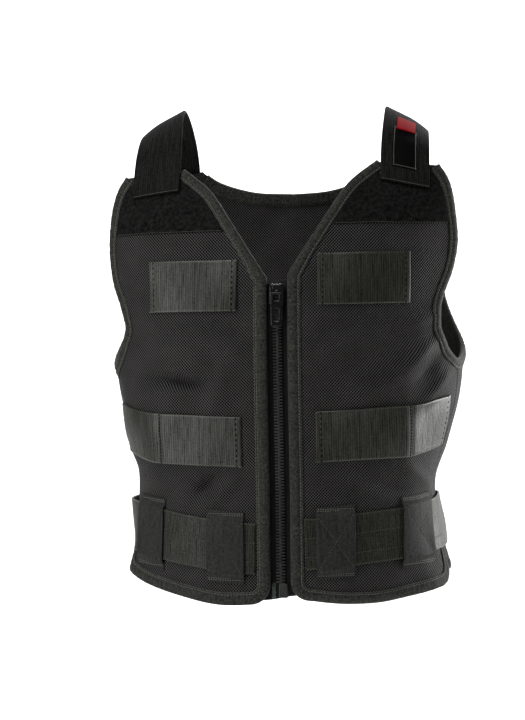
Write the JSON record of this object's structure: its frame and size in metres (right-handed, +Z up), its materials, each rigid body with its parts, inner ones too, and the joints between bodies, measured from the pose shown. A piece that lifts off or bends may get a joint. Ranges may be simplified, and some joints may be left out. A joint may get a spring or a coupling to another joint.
{
  "type": "tool vest",
  "caption": "Zip-front tool vest of padded mesh with bound edges, hook-and-loop shoulder straps, sewn webbing for holders and a belt in loops, open at neck, arms and hem.",
  "frame": {"origin": "on the middle plane, level with the underside of the straps on top of the shoulders", "axes": "+X towards the wearer's left, +Y towards the wearer's back, +Z up"},
  "size_m": [0.377, 0.2538, 0.5085],
  "materials": {
    "mesh": "padded open mesh",
    "binding": "folded grosgrain tape",
    "webbing": "ribbed nylon webbing with a sheen",
    "canvas": "plain woven",
    "loop_pile": "fuzzy loop pile",
    "strap": "close woven, padded",
    "zip_tape": "woven tape",
    "zip_plastic": "moulded",
    "zip_metal": "gloss black",
    "film": "clear film over the tape end",
    "label": "plain woven patch",
    "tab": "plain woven tab"
  },
  "bodies": {
    "vest": {"front_panel_right": "mesh", "edge_binding_right": "binding", "armhole_binding_right": "binding", "chest_webbing_right": "webbing", "waist_webbing_right": "webbing", "belt_loop_front_right": "canvas", "belt_loop_side_right": "canvas", "loop_yoke_right": "loop_pile", "shoulder_strap_right": "strap", "zip_tape_right": "zip_tape", "front_panel_left": "mesh", "edge_binding_left": "binding", "armhole_binding_left": "binding", "chest_webbing_left": "webbing", "waist_webbing_left": "webbing", "belt_loop_front_left": "canvas", "belt_loop_side_left": "canvas", "loop_yoke_left": "loop_pile", "shoulder_strap_left": "strap", "zip_tape_left": "zip_tape", "back_panel": "mesh", "back_hem_binding": "binding", "back_neck_binding": "binding", "belt_webbing": "webbing", "strap_label": "label", "label_tab": "tab", "zip_chain": "zip_plastic", "zip_box": "zip_plastic", "zip_end_film": "film", "zip_slider": "zip_metal"},
    "pull": {"zip_pull": "zip_metal"}
  },
  "joints": [
    {"name": "zip_pull_hinge", "type": "hinge", "parent": "vest", "child": "pull", "pos_m": [0, -0.12443, -0.18286], "axis": [-1, 0, 0], "range_deg": [0, 170]}
  ]
}
